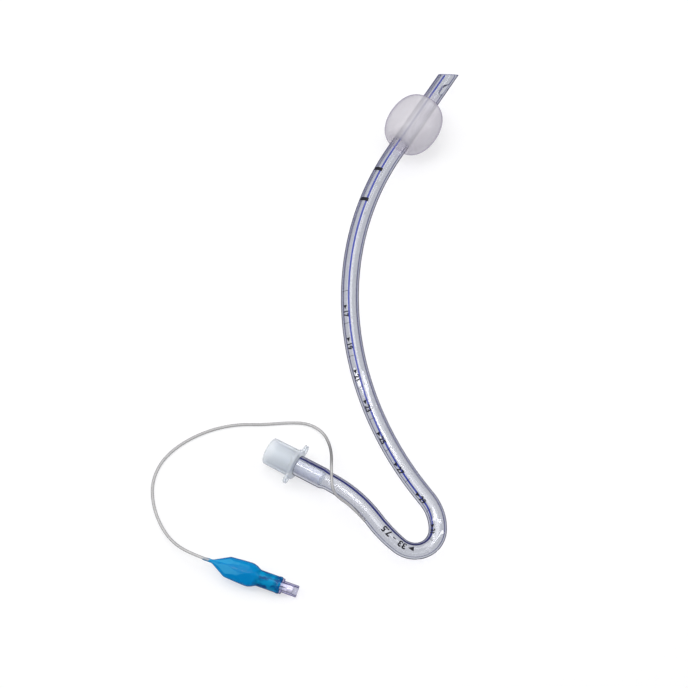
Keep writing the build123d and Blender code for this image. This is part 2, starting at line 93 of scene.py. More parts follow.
# Pilot valve, measured along the balloon from its neck
HOUSING_START = 31.0
HOUSING_RADIUS = 4.35
CHAMBER_RADIUS = 3.1
SEAT = 42.0
HOUSING_SHOULDER = 46.4
GUIDE_RADIUS = 1.95
GUIDE_END = 52.2
PORT_BORE_RADIUS = 2.15
PORT_RADIUS = 3.25
PORT_END = 54.8
POPPET_HEAD_RADIUS = 1.87
POPPET_FLUTE = 0.45
POPPET_CORE_RADIUS = 1.3
SEAL_RADIUS = 2.6
SEAL_START = 40.58
SEAL_END = 41.98
COIL_START = 33.37
COIL_END = 39.41
COIL_TURNS = 5
COIL_RADIUS = 1.9
WIRE_RADIUS = 0.15

LINE_RADIUS = 0.8

# Stretches of the centre line: length, radius (0 is straight) and the side that it bends to
STRETCHES = [(64.5, 0, 0), (223.47, 183.7, 0), (5.3, 0, 0), (18.4237, 26, 180), (29.3411, 13.3, 180),
             (19.3313, 78, 180), (33.8245, 76, -33), (60, 0, 0)]
# Start of the centre line in the middle of the bevel: place, left, up and ahead
START = [(51.08625, 150.5032, 14.19572), (0.844718, -0.514682, -0.146812),
         (0.149069, -0.037202, 0.988127), (-0.514032, -0.856574, 0.045298)]

# Distance of the middle of the tight bend, where the tube is flattened
TIGHT_BEND = 331

# The pilot balloon's own frame: its neck's place, along, across and up
PILOT = [(-88.7, -152.4, 7.89987), (0.942154, -0.328093, -0.068571),
         (0.328867, 0.944376, 0.0), (0.064757, -0.022551, 0.997646)]

# Course of the inflation line: from the notch over the tube's end, along the floor, to the balloon's neck
LINE_POINTS = [
    (-0.3054, -132.495, 11.3389), (-7.7, -124.2, 12.2), (-16.8, -119.8, 17.6), (-18.6, -115.2, 21.0),
    (-18.8, -104.5, 21.2), (-18.7, -95.3, 14.6), (-19.9, -85.6, 6.6), (-23.6, -76.2, 1.6),
    (-32.0, -70.6, 0.85), (-43.5, -70.2, 0.85), (-57.0, -71.4, 0.85), (-71.5, -71.2, 0.85),
    (-85.0, -74.0, 0.85), (-97.0, -79.2, 0.85), (-107.4, -86.4, 0.85), (-114.8, -95.2, 0.85),
    (-118.6, -106.5, 0.85), (-117.6, -119.0, 0.85), (-113.2, -131.0, 1.0), (-106.1, -141.9, 4.2),
    (-96.2, -149.8, 8.5), (-84.9314, -153.712, 7.6256)]


def stretch_frames():
    """Start frame of every stretch, as (distance, origin, left, up, ahead)."""
    origin, left, up, ahead = (Vector(v) for v in START)
    frames = []
    distance = 0
    for length, radius, facing in STRETCHES:
        frames.append((distance, origin.copy(), left.copy(), up.copy(), ahead.copy()))
        if radius == 0:
            origin = origin + ahead * length
        else:
            angle = math.radians(facing)
            towards = left * math.cos(angle) + up * math.sin(angle)
            turn = Matrix.Rotation(length / radius, 3, ahead.cross(towards))
            centre = origin + towards * radius
            origin = centre - turn @ towards * radius
            left, up, ahead = turn @ left, turn @ up, turn @ ahead
        distance += length
    return frames


FRAMES = stretch_frames()


def tube_frame(distance):
    """Origin, left, up and ahead of the centre line at a distance from the middle of the bevel."""
    number = 0
    while number + 1 < len(FRAMES) and FRAMES[number + 1][0] <= distance:
        number += 1
    start, origin, left, up, ahead = FRAMES[number]
    _, radius, facing = STRETCHES[number]
    along = distance - start
    if radius == 0:
        return origin + ahead * along, left, up, ahead
    angle = math.radians(facing)
    towards = left * math.cos(angle) + up * math.sin(angle)
    turn = Matrix.Rotation(along / radius, 3, ahead.cross(towards))
    return origin + towards * radius - turn @ towards * radius, turn @ left, turn @ up, turn @ ahead


def squeeze(distance):
    """How far the tight bend has flattened the tube across its own plane."""
    deepest, spread = 0.11, 14
    return deepest * math.exp(-((distance - TIGHT_BEND) / spread) ** 2)


def on_tube(distance, angle, radius):
    """Point beside the centre line. The angle runs from the tube's left side over its top."""
    origin, left, up, _ = tube_frame(distance)
    narrow = 1 - squeeze(distance)
    return origin + left * (radius * narrow * math.cos(angle)) + up * (radius * math.sin(angle))


def in_frame(axes, x, y, z):
    """Point in millimetres, from its place in a frame that is an origin and three directions."""
    origin, along, across, up = (Vector(v) for v in axes)
    return origin + along * x + across * y + up * z


def mesh_object(name, points, faces, smooth=40):
    mesh = bpy.data.meshes.new(name)
    mesh.from_pydata([Vector(p) * MM for p in points], [], faces)
    made = bpy.data.objects.new(name, mesh)
    scene.collection.objects.link(made)
    finish_mesh(mesh, smooth)
    return made


def finish_mesh(mesh, smooth):
    """Normals outwards, smooth faces and sharp edges above an angle in degrees."""
    form = bmesh.new()
    form.from_mesh(mesh)
    bmesh.ops.recalc_face_normals(form, faces=form.faces)
    form.to_mesh(mesh)
    form.free()
    mesh.shade_smooth()
    mesh.set_sharp_from_angle(angle=math.radians(smooth))


def rings_mesh(name, rings, wrap=True, smooth=40):
    """Skin over closed rings of points. If it wraps, the last ring joins the first, else both are capped."""
    count = len(rings[0])
    points = [point for ring in rings for point in ring]
    faces = []
    pairs = len(rings) if wrap else len(rings) - 1
    for number in range(pairs):
        low = number * count
        high = (number + 1) % len(rings) * count
        for side in range(count):
            after = (side + 1) % count
            faces.append((low + side, low + after, high + after, high + side))
    if not wrap:
        faces.append(tuple(range(count))[::-1])
        faces.append(tuple(range((len(rings) - 1) * count, len(rings) * count)))
    return mesh_object(name, points, faces, smooth)


def angles(count):
    return [2 * math.pi * number / count for number in range(count)]


def lathe(name, profile, place, count=96, wrap=True, smooth=40):
    """Turned piece. The profile is (distance, radius) pairs and place(distance, angle, radius) a point."""
    rings = [[place(x, angle, radius) for angle in angles(count)] for x, radius in profile]
    return rings_mesh(name, rings, wrap, smooth)


def pilot_place(x, angle, radius):
    return in_frame(PILOT, x, radius * math.cos(angle), radius * math.sin(angle))


def rounded(profile, radius, steps=5):
    """Closed profile with its corners rounded, each by no more than 0.45 of its shorter side."""
    done = []
    count = len(profile)
    for number in range(count):
        before, corner, after = (Vector(profile[(number + k) % count]) for k in (-1, 0, 1))
        into = before - corner
        out = after - corner
        reach = min(radius, 0.45 * into.length, 0.45 * out.length)
        first = corner + into.normalized() * reach
        last = corner + out.normalized() * reach
        for step in range(steps + 1):
            t = step / steps
            done.append(tuple(first * (1 - t) ** 2 + corner * (2 * t * (1 - t)) + last * t ** 2))
    return done


def joined(name, parts):
    """One object from several."""
    form = bmesh.new()
    for part in parts:
        form.from_mesh(part.data)
        bpy.data.objects.remove(part)
    mesh = bpy.data.meshes.new(name)
    form.to_mesh(mesh)
    form.free()
    made = bpy.data.objects.new(name, mesh)
    scene.collection.objects.link(made)
    return made


def boolean(target, tool, operation, smooth=35):
    modifier = target.modifiers.new("boolean", "BOOLEAN")
    modifier.operation = operation
    modifier.solver = "EXACT"
    modifier.object = tool
    graph = bpy.context.evaluated_depsgraph_get()
    mesh = bpy.data.meshes.new_from_object(target.evaluated_get(graph))
    target.modifiers.remove(modifier)
    target.data = mesh
    bpy.data.objects.remove(tool)
    mesh.set_sharp_from_angle(angle=math.radians(smooth))
    return target


# Node trees

def add(tree, kind, inputs=None, **settings):
    node = tree.nodes.new(kind)
    for key, value in settings.items():
        setattr(node, key, value)
    for key, value in (inputs or {}).items():
        if isinstance(value, bpy.types.NodeSocket):
            tree.links.new(value, node.inputs[key])
        else:
            node.inputs[key].default_value = value
    return node


def figure(tree, operation, *values):
    return add(tree, "ShaderNodeMath", dict(enumerate(values)), operation=operation).outputs[0]


def geometry_tree(name, *sizes):
    """Geometry Nodes tree with a named input for each size, and those inputs by their names."""
    tree = bpy.data.node_groups.new(name, "GeometryNodeTree")
    tree.interface.new_socket("Geometry", in_out="INPUT", socket_type="NodeSocketGeometry")
    for size in sizes:
        tree.interface.new_socket(size, in_out="INPUT", socket_type="NodeSocketFloat")
    tree.interface.new_socket("Geometry", in_out="OUTPUT", socket_type="NodeSocketGeometry")
    return tree, add(tree, "NodeGroupInput").outputs


def end_tree(tree, geometry, finish):
    real = add(tree, "GeometryNodeRealizeInstances", {"Geometry": geometry})
    dressed = add(tree, "GeometryNodeSetMaterial", {"Geometry": real.outputs[0], "Material": finish})
    add(tree, "NodeGroupOutput", {"Geometry": dressed.outputs[0]})
    return tree


def grown(name, tree, sizes, source):
    """Plain mesh that a Geometry Nodes tree makes from a source mesh and its sizes."""
    made = bpy.data.objects.new(name, source)
    scene.collection.objects.link(made)
    modifier = made.modifiers.new(name, "NODES")
    modifier.node_group = tree
    for socket in tree.interface.items_tree:
        if socket.in_out == "INPUT" and socket.name in sizes:
            modifier[socket.identifier] = float(sizes[socket.name])
    graph = bpy.context.evaluated_depsgraph_get()
    mesh = bpy.data.meshes.new_from_object(made.evaluated_get(graph))
    made.modifiers.remove(modifier)
    made.data = mesh
    return made


def affine(x, y, z, origin):
    """Matrix with three columns and an origin."""
    return Matrix([(*row, place) for row, place in zip(zip(x, y, z), origin)] + [(0, 0, 0, 1)])


# Airway tube

def tip_start(angle, radius):
    """Where the bevel cuts the tube at an angle and a radius."""
    return radius * math.cos(angle - BEVEL_FACING)


def wall_radius(distance, base, stretched):
    """Radius of the wall, which widens in a soft step over the connector's stem."""
    t = min(max((distance - STRETCH_START) / STRETCH_TAPER, 0), 1)
    return base + (stretched - base) * t * t * (3 - 2 * t)


def airway_tube():
    turns = angles(72)
    lip_length = 0.4
    lead = 9.0
    spacing = 1.25
    near = [number / 12 for number in range(1, 13)]
    body = [lead + number * spacing
            for number in range(1, int((TUBE_LENGTH - lead - lip_length) / spacing) + 1)]

    def surface(base, stretched):
        rings = []
        for t in near:
            starts = [tip_start(a, base) + lip_length for a in turns]
            rings.append([on_tube(start + (lead - start) * t, a, base) for start, a in zip(starts, turns)])
        for distance in body:
            radius = wall_radius(distance, base, stretched)
            rings.append([on_tube(distance, a, radius) for a in turns])
        return rings

    lip = [(BORE_RADIUS, lip_length), (3.82, 0.2), (3.97, 0.06), (4.2, 0), (4.65, 0), (4.88, 0.06),
           (5.03, 0.2), (TUBE_RADIUS, lip_length)]
    lip_rings = [[on_tube(tip_start(a, radius) + push, a, radius) for a in turns] for radius, push in lip]
    ends = [(TUBE_LENGTH - 0.3, STRETCHED_RADIUS), (TUBE_LENGTH - 0.1, STRETCHED_RADIUS - 0.08),
            (TUBE_LENGTH, STRETCHED_RADIUS - 0.3), (TUBE_LENGTH, STEM_RADIUS + 0.2),
            (TUBE_LENGTH - 0.15, STEM_RADIUS)]
    end_rings = [[on_tube(distance, a, radius) for a in turns] for distance, radius in ends]
    inner = surface(BORE_RADIUS, STEM_RADIUS)[::-1]
    outer = surface(TUBE_RADIUS, STRETCHED_RADIUS)
    tube = rings_mesh("clear_tube", inner + lip_rings + outer + end_rings)
    return boolean(tube, eye_cutter(), "DIFFERENCE")


def eye_cutter():
    """Slot-shaped plug through one wall, wider at the outside so that the eye's rim is eased."""
    origin, left, up, ahead = tube_frame(EYE_CENTRE)
    out = left * math.cos(EYE_FACING) + up * math.sin(EYE_FACING)
    side = ahead.cross(out)
    straight = (EYE_LENGTH - EYE_WIDTH) / 2
    rings = []
    for height, grow in ((0, 0), (4.3, 0), (4.9, 0.1), (5.3, 0.45), (8, 3.2)):
        ring = []
        for angle in angles(64):
            x = (EYE_WIDTH / 2 + grow) * math.cos(angle) + math.copysign(straight, math.cos(angle))
            y = (EYE_WIDTH / 2 + grow) * math.sin(angle)
            ring.append(origin + out * height + ahead * x + side * y)
        rings.append(ring)
    return rings_mesh("eye_cutter", rings, wrap=False)


def strip(name, distances, width, low, high):
    """Band that runs along the tube, between two depths."""
    half = width / 2 / TUBE_RADIUS
    rings = []
    for distance in distances:
        lift = wall_radius(distance, 0, STRETCHED_RADIUS - TUBE_RADIUS)
        facing = line_facing(distance)
        ring = [on_tube(distance, facing + half * k / 3, high + lift) for k in range(-3, 4)]
        ring += [on_tube(distance, facing + half * k / 3, low + lift) for k in range(3, -4, -1)]
        rings.append(ring)
    return rings_mesh(name, rings, wrap=False, smooth=60)


def blue_line():
    start = tip_start(line_facing(0), TUBE_RADIUS) + 0.5
    end = TUBE_LENGTH - 0.35
    count = 330
    distances = [start + (end - start) * number / count for number in range(count + 1)]
    return strip("blue_line", distances, BLUE_WIDTH, TUBE_RADIUS - BLUE_DEPTH, TUBE_RADIUS + 0.015)


# Cuff

def bezier(a, b, c, d, steps):
    points = []
    for number in range(steps + 1):
        t = number / steps
        weights = ((1 - t) ** 3, 3 * t * (1 - t) ** 2, 3 * t * t * (1 - t), t ** 3)
        points.append(tuple(sum(w * p[k] for w, p in zip(weights, (a, b, c, d))) for k in (0, 1)))
    return points


def cuff_outline(inset):
    foot = TUBE_RADIUS + CUFF_FILM - inset
    crown = CUFF_RADIUS - inset
    half = CUFF_LENGTH / 2
    rise = (crown - foot) * 0.6
    reach = half * 0.6
    low = bezier((inset, foot), (inset, foot + rise), (half - reach, crown), (half, crown), 28)
    high = bezier((half, crown), (half + reach, crown), (CUFF_LENGTH - inset, foot + rise),
                  (CUFF_LENGTH - inset, foot), 28)
    return low + high[1:]


def paint(obj, name, value):
    """Vertex attribute from a function of the position in millimetres."""
    layer = obj.data.attributes.new(name, "FLOAT", "POINT")
    for number, vert in enumerate(obj.data.vertices):
        layer.data[number].value = value(vert.co / MM)
    return obj


def frost(point):
    """The film is frosted on the cuff's body and clear on its collars."""
    origin, _, _, ahead = tube_frame(CUFF_START + CUFF_LENGTH / 2)
    beyond = abs((point - origin).dot(ahead)) - CUFF_LENGTH / 2
    return min(max(0.5 - beyond / 1.5, 0), 1)


def cuff():
    foot = TUBE_RADIUS + CUFF_FILM
    outline = [(-COLLAR_LENGTH, TUBE_RADIUS + 0.01), (-COLLAR_LENGTH, foot), (-0.4, foot)]
    outline += cuff_outline(0) + [(CUFF_LENGTH + 0.4, foot), (CUFF_LENGTH + COLLAR_LENGTH, foot),
                                  (CUFF_LENGTH + COLLAR_LENGTH, TUBE_RADIUS + 0.01)]
    return lathe("cuff_film", outline,
                 lambda x, a, r: on_tube(CUFF_START + x, a, r), count=128, wrap=False, smooth=50)


def open_ends(obj):
    """Takes the two end caps off a skin."""
    form = bmesh.new()
    form.from_mesh(obj.data)
    caps = [face for face in form.faces if len(face.verts) > 4]
    bmesh.ops.delete(form, geom=caps, context="FACES_ONLY")
    form.to_mesh(obj.data)
    form.free()
    return obj


# Connector

def connector_place(x, angle, radius):
    return on_tube(TUBE_LENGTH + x, angle, radius)


def connector():
    stem_radius = STEM_RADIUS - STEM_GAP
    profile = [(-STEM_LENGTH, stem_radius - 0.47), (0.5 - STEM_LENGTH, stem_radius),
               (FLANGE_START, stem_radius), (FLANGE_START, FLANGE_RADIUS),
               (FLANGE_END, FLANGE_RADIUS), (FLANGE_END, CONE_ROOT_RADIUS),
               (CONE_ROOT_END, CONE_ROOT_RADIUS), (CONE_END, CONE_MOUTH_RADIUS), (CONE_END, SOCKET_RADIUS),
               (FUNNEL_END, SOCKET_RADIUS), (FUNNEL_START, STEM_BORE_RADIUS),
               (-STEM_LENGTH, STEM_BORE_RADIUS)]
    body = lathe("connector_body", rounded(profile, 0.45), connector_place, count=128)
    for side in (1, -1):
        body = boolean(body, lug(side), "UNION")
    body.name = "connector_moulding"
    return body


def lug(side):
    """Flat loop beside the flange."""
    section = rounded([(0, 0), (1, 0), (1, 1), (0, 1)], 0.3, 4)
    origin, left, up, ahead = tube_frame(TUBE_LENGTH)
    left = left * side
    rings = []
    for angle in angles(64):
        c, s = math.cos(angle), math.sin(angle)
        inner = left * (LUG_HOLE_CENTRE + LUG_HOLE_RADIUS * c) + up * (LUG_HOLE_RADIUS * s)
        outer = left * (LUG_CENTRE + LUG_RADIUS * c) + up * (LUG_RADIUS * s)
        rings.append([origin + inner.lerp(outer, across) + ahead * (LUG_START + LUG_THICKNESS * along)
                      for across, along in section])
    return rings_mesh("lug", rings)


# Pilot balloon and valve

# Flat facets pressed into the balloon's film: a point on each and its outward direction
CREASES = [((13.5, -3.4, 2.3), (-0.28, -0.45, 0.85)), ((12.5, 3.2, 2.4), (-0.3, 0.35, 0.88)),
           ((21.0, -4.0, 4.2), (0.05, -0.62, 0.78))]


CREASE_END = 30


def pressed(point):
    """Moves a point that stands beyond a facet most of the way back to it."""
    for corner, normal in CREASES:
        outward = Vector(normal).normalized()
        over = (point - Vector(corner)).dot(outward)
        if over > 0:
            point = point - outward * over * 0.8
    return point


def pilot_film():
    """Blue film: neck, flattened balloon with a straight-sided front, shoulder and sleeve.

    Every span starts at a distance from the neck, with half the width and half the height there.
    """
    spans = [(0, 1.05, 1.05), (5.2, 1.05, 1.05), (6.2, 1.35, 1.25), (14.0, 5.85, 4.1), (15.0, 6.1, 4.4),
             (20.5, 6.45, 5.3), (26.5, 6.7, 5.95), (28.2, 6.55, 5.9), (30.0, 5.9, 5.5), (31.4, 5.1, 4.95),
             (32.3, 4.65, 4.62), (33.5, 4.6, 4.6), (43.2, 4.6, 4.6), (43.5, 4.8, 4.8), (44.7, 4.8, 4.8),
             (45.0, 4.7, 4.7), (45.0, 4.45, 4.45)]
    rings = []
    for (x0, w0, h0), (x1, w1, h1) in zip(spans, spans[1:]):
        steps = max(1, int((x1 - x0) / 0.5))
        for step in range(steps):
            t = step / steps
            rings.append((x0 + (x1 - x0) * t, w0 + (w1 - w0) * t, h0 + (h1 - h0) * t))
    rings.append(spans[-1])
    skin = []
    flattest, spread, sleeve = 12, 7.5, 32
    for x, wide, high in rings:
        flat = math.exp(-((x - flattest) / spread) ** 2) if x < sleeve else 0
        ring = []
        for angle in angles(96):
            c, s = math.cos(angle), math.sin(angle)
            z = high * s * (abs(s) ** (0.7 * flat))
            point = Vector((x, wide * c, z))
            if x < CREASE_END:
                point = pressed(point)
            ring.append(in_frame(PILOT, *point))
        skin.append(ring)
    return open_ends(rings_mesh("pilot_film", skin, wrap=False, smooth=60))


def along_pilot(point):
    return (point - Vector(PILOT[0])).dot(Vector(PILOT[1]))


def around_pilot(point):
    """Angle round the balloon's axis, folded so that it has no seam."""
    beside = point - Vector(PILOT[0])
    return abs(math.atan2(beside.dot(Vector(PILOT[3])), beside.dot(Vector(PILOT[2]))) - 1.2)


def valve_housing():
    profile = [(HOUSING_START, CHAMBER_RADIUS), (SEAT, CHAMBER_RADIUS), (SEAT, GUIDE_RADIUS),
               (GUIDE_END, GUIDE_RADIUS), (GUIDE_END, PORT_BORE_RADIUS), (PORT_END, PORT_BORE_RADIUS),
               (PORT_END, PORT_RADIUS), (HOUSING_SHOULDER, PORT_RADIUS), (HOUSING_SHOULDER, HOUSING_RADIUS),
               (HOUSING_START, HOUSING_RADIUS)]
    return lathe("clear_housing", rounded(profile, 0.25), pilot_place)


def poppet():
    head = []
    for x, ease in ((48.6, 0.25), (48.75, 0.06), (48.95, 0), (51.6, 0), (51.85, 0.06), (52.0, 0.25)):
        ring = []
        for angle in angles(96):
            flute = POPPET_FLUTE * max(0, math.cos(4 * angle)) ** 6
            radius = POPPET_HEAD_RADIUS - ease - flute
            ring.append(pilot_place(x, angle, radius))
        head.append(ring)
    parts = [rings_mesh("head", head, wrap=False)]
    for turn in (0, 1):
        rings = []
        for x in (SEAL_END, 48.7):
            corners = rounded([(-1.75, -0.4), (1.75, -0.4), (1.75, 0.4), (-1.75, 0.4)], 0.12, 3)
            rings.append([in_frame(PILOT, x, *(corner if turn else corner[::-1])) for corner in corners])
        parts.append(rings_mesh("fin", rings, wrap=False))
    core = [(34.8, 0.8), (34.9, 1.1), (39.58, 1.1), (39.58, 2.3), (39.7, 2.4), (40.45, 2.4),
            (SEAL_START, 2.3), (SEAL_START, POPPET_CORE_RADIUS), (SEAL_END, POPPET_CORE_RADIUS)]
    parts.append(lathe("core", core, pilot_place, count=64, wrap=False))
    return joined("white_poppet", parts)


def seal():
    section = [(SEAL_START, POPPET_CORE_RADIUS), (SEAL_END, POPPET_CORE_RADIUS), (SEAL_END, SEAL_RADIUS),
               (SEAL_START, SEAL_RADIUS)]
    return lathe("black_seal", rounded(section, 0.45), pilot_place, count=72)


def wound_wire_tree(finish):
    """Round wire that is wound round Z, from the origin upwards."""
    tree, sizes = geometry_tree("wound_wire", "Turns", "Coil Radius", "Wire Radius", "Height")
    path = add(tree, "GeometryNodeCurveSpiral",
               {"Resolution": 48, "Rotations": sizes["Turns"], "Start Radius": sizes["Coil Radius"],
                "End Radius": sizes["Coil Radius"], "Height": sizes["Height"], "Reverse": True})
    section = add(tree, "GeometryNodeCurvePrimitiveCircle",
                  {"Resolution": 10, "Radius": sizes["Wire Radius"]})
    wire = add(tree, "GeometryNodeCurveToMesh",
               {"Curve": path.outputs[0], "Profile Curve": section.outputs[0], "Fill Caps": True})
    return end_tree(tree, wire.outputs[0], finish)


def spring():
    """Wire coil between the retainer and the poppet."""
    sizes = {"Turns": COIL_TURNS, "Coil Radius": COIL_RADIUS * MM, "Wire Radius": WIRE_RADIUS * MM,
             "Height": (COIL_END - COIL_START) * MM}
    coil = grown("wire_spring", wound_wire_tree(steel), sizes, bpy.data.meshes.new("no_wire"))
    foot = in_frame(PILOT, COIL_START, 0, 0) * MM
    across, up, along = (Vector(PILOT[number]) for number in (2, 3, 1))
    coil.data.transform(affine(across, up, along, foot))
    finish_mesh(coil.data, 60)
    return coil


def inflation_line():
    curve = bpy.data.curves.new("thin_line", "CURVE")
    curve.dimensions = "3D"
    spline = curve.splines.new("NURBS")
    spline.points.add(len(LINE_POINTS) - 1)
    for point, place in zip(spline.points, LINE_POINTS):
        point.co = (place[0] * MM, place[1] * MM, place[2] * MM, 1)
    spline.order_u = 3
    spline.use_endpoint_u = True
    spline.resolution_u = 12
    curve.bevel_depth = LINE_RADIUS * MM
    curve.bevel_resolution = 6
    curve.use_fill_caps = True
    made = bpy.data.objects.new("thin_line", curve)
    scene.collection.objects.link(made)
    return made


# Print on the tube

def printed(shape, distance, facing):
    """Flat shape, drawn in millimetres with X along the tube, laid on the outside of the wall."""
    form = bmesh.new()
    form.from_mesh(shape)
    for axis, spacing in ((0, 0.5), (1, 0.25)):
        places = [vert.co[axis] for vert in form.verts]
        cut = min(places) + spacing
        while cut < max(places):
            normal = Vector((1, 0, 0)) if axis == 0 else Vector((0, 1, 0))
            geometry = form.verts[:] + form.edges[:] + form.faces[:]
            bmesh.ops.bisect_plane(form, geom=geometry, plane_co=normal * cut, plane_no=normal)
            cut += spacing
    for vert in form.verts:
        angle = facing - vert.co.y / TUBE_RADIUS
        vert.co = on_tube(distance + vert.co.x, angle, TUBE_RADIUS + INK_LIFT) * MM
    mesh = bpy.data.meshes.new("print")
    form.to_mesh(mesh)
    form.free()
    made = bpy.data.objects.new("print", mesh)
    scene.collection.objects.link(made)
    return made


# Sides of the print and of the blue line: pairs of a distance and an angle in degrees
PRINT_SIDES = ((230, 132), (260, 139), (290, 139), (312, 136), (333, 86))
BLUE_SIDES = ((99, 102), (208, 109), (262, 128), (290, 135), (312, 138), (332, 121), (380, 114))


def print_facing(distance):
    """The print stands between the top and the right side, and turns to the top in the tight bend."""
    return math.radians(np.interp(distance, *zip(*PRINT_SIDES)))


def line_facing(distance):
    """The blue line, extruded with a slow twist."""
    return math.radians(np.interp(distance, *zip(*BLUE_SIDES)))


def digits(text, height):
    curve = bpy.data.curves.new("digits", "FONT")
    curve.body = text
    curve.size = height / 0.7
    curve.offset = 0.055 * height
    curve.align_x = "LEFT"
    curve.align_y = "CENTER"
    source = bpy.data.objects.new("digits", curve)
    scene.collection.objects.link(source)
    graph = bpy.context.evaluated_depsgraph_get()
    mesh = bpy.data.meshes.new_from_object(source.evaluated_get(graph))
    bpy.data.objects.remove(source)
    return mesh


def polygon(points):
    mesh = bpy.data.meshes.new("shape")
    mesh.from_pydata([(x, y, 0) for x, y in points], [], [tuple(range(len(points)))])
    return mesh


def wall_place(distance, facing):
    """Matrix that carries ink from round Z, at the wall's radius, to its place on the tube."""
    step = 0.01
    origin, left, up, _ = tube_frame(distance)
    narrow = 1 - squeeze(distance)
    before, after = (on_tube(distance + d, facing, TUBE_RADIUS + INK_LIFT) for d in (-step, step))
    along = (after - before) / (2 * step)
    return affine(left * narrow, up, along, origin * MM) @ Matrix.Rotation(facing, 4, "Z")


def inked_bars_tree(finish):
    """A bar of ink for every point, bent to the tube's wall and put where the attribute place says."""
    tree, sizes = geometry_tree("inked_bars", "Length", "Width", "Tube Radius", "Ink Lift")
    flat = add(tree, "GeometryNodeMeshGrid", {"Size X": sizes["Length"], "Size Y": sizes["Width"],
                                              "Vertices X": 6, "Vertices Y": 25})
    spot = add(tree, "ShaderNodeSeparateXYZ", {0: add(tree, "GeometryNodeInputPosition").outputs[0]})
    angle = figure(tree, "DIVIDE", spot.outputs["Y"], sizes["Tube Radius"])
    radius = figure(tree, "ADD", sizes["Tube Radius"], sizes["Ink Lift"])
    across = figure(tree, "MULTIPLY", radius, figure(tree, "COSINE", angle))
    aside = figure(tree, "MULTIPLY", radius, figure(tree, "SINE", figure(tree, "MULTIPLY", angle, -1.0)))
    bent = add(tree, "ShaderNodeCombineXYZ", {0: across, 1: aside, 2: spot.outputs["X"]})
    ink_bar = add(tree, "GeometryNodeSetPosition", {"Geometry": flat.outputs[0], "Position": bent.outputs[0]})
    bars = add(tree, "GeometryNodeInstanceOnPoints",
               {"Points": sizes["Geometry"], "Instance": ink_bar.outputs[0]})
    place = add(tree, "GeometryNodeInputNamedAttribute", {"Name": "place"}, data_type="FLOAT4X4")
    placed = add(tree, "GeometryNodeSetInstanceTransform", {"Instances": bars.outputs[0],
                                                            "Transform": place.outputs[0]})
    bare = add(tree, "GeometryNodeRemoveAttribute", {"Geometry": placed.outputs[0], "Name": "place"})
    return end_tree(tree, bare.outputs[0], finish)


def inked_bars(name, places, length, width):
    """Bars that repeat along the tube. The places are (distance, facing) pairs."""
    points = bpy.data.meshes.new(name)
    points.from_pydata([(0, 0, 0)] * len(places), [], [])
    layer = points.attributes.new("place", "FLOAT4X4", "POINT")
    for number, (distance, facing) in enumerate(places):
        layer.data[number].value = wall_place(distance, facing)
    sizes = {"Length": length * MM, "Width": width * MM, "Tube Radius": TUBE_RADIUS * MM,
             "Ink Lift": INK_LIFT * MM}
    return grown(name, inked_bars_tree(ink), sizes, points)


# Where the print stands on the tube: each depth in centimetres with its distance from the tip, then the rest
DEPTHS = {17: 172.3, 19: 191.9, 21: 211.2, 23: 229.6, 25: 249.2, 27: 268.6, 29: 288.8, 31: 311.0}
TICKS = (162.5, 182, 201.5, 220.5, 239.5, 259, 279, 300, 321)
CUFF_BANDS = (81.6, 103.2)
BAND_FACING = math.radians(122)


def depth_marks():
    head = [(-1.3, -1.2), (1.2, 0), (-1.3, 1.2)]
    large_head = [(-1.6, -1.5), (1.6, 0), (-1.6, 1.5)]
    dash = [(0, -0.25), (2.0, -0.25), (2.0, 0.25), (0, 0.25)]
    small, large = 2.9, 3.4
    parts = []
    for depth, distance in DEPTHS.items():
        facing = print_facing(distance)
        parts.append(printed(polygon(head), distance, facing))
        parts.append(printed(digits(str(depth), small), distance + 1.7, facing))
    parts.append(inked_bars("ticks", [(distance, print_facing(distance)) for distance in TICKS], 0.28, 3.8))
    parts.append(inked_bars("bands", [(distance, BAND_FACING) for distance in CUFF_BANDS], 2.3, 5.4))
    parts.append(printed(polygon(large_head), 334.8, print_facing(334.8)))
    parts.append(printed(digits("33", large), 337.4, print_facing(339)))
    parts.append(printed(polygon(dash), 344.2, print_facing(344)))
    parts.append(printed(digits("7.5", large), 348, print_facing(349)))
    return joined("printed_marks", parts)


# Materials

def grain_group():
    """Fine waviness of a moulded or extruded surface: a bumped normal and a 0 to 1 mask."""
    group = bpy.data.node_groups.new("surface_grain", "ShaderNodeTree")
    face = group.interface
    face.new_socket("Scale", in_out="INPUT", socket_type="NodeSocketFloat")
    face.new_socket("Strength", in_out="INPUT", socket_type="NodeSocketFloat")
    face.new_socket("Normal", in_out="OUTPUT", socket_type="NodeSocketVector")
    face.new_socket("Mask", in_out="OUTPUT", socket_type="NodeSocketFloat")
    start = add(group, "NodeGroupInput")
    place = add(group, "ShaderNodeTexCoord")
    noise = add(group, "ShaderNodeTexNoise", {"Vector": place.outputs["Object"],
                                              "Scale": start.outputs["Scale"], "Detail": 3.0})
    bump = add(group, "ShaderNodeBump", {"Height": noise.outputs["Fac"], "Distance": 0.0003,
                                         "Strength": start.outputs["Strength"]})
    add(group, "NodeGroupOutput", {"Normal": bump.outputs["Normal"], "Mask": noise.outputs["Fac"]})
    return group


GRAIN = grain_group()


def material(name):
    made = bpy.data.materials.new(name)
    made.use_nodes = True
    made.node_tree.nodes.clear()
    return made


def grain_node(tree, scale, strength):
    node = tree.nodes.new("ShaderNodeGroup")
    node.node_tree = GRAIN
    node.inputs["Scale"].default_value = scale
    node.inputs["Strength"].default_value = strength
    return node


def edge_mask(tree, start, full):
    """0 where a surface faces the eye and 1 where it is seen edge on."""
    weight = add(tree, "ShaderNodeLayerWeight", {"Blend": 0.5})
    return add(tree, "ShaderNodeMapRange", {"Value": weight.outputs["Facing"], "From Min": start,
                                            "From Max": full}, interpolation_type="SMOOTHSTEP").outputs[0]


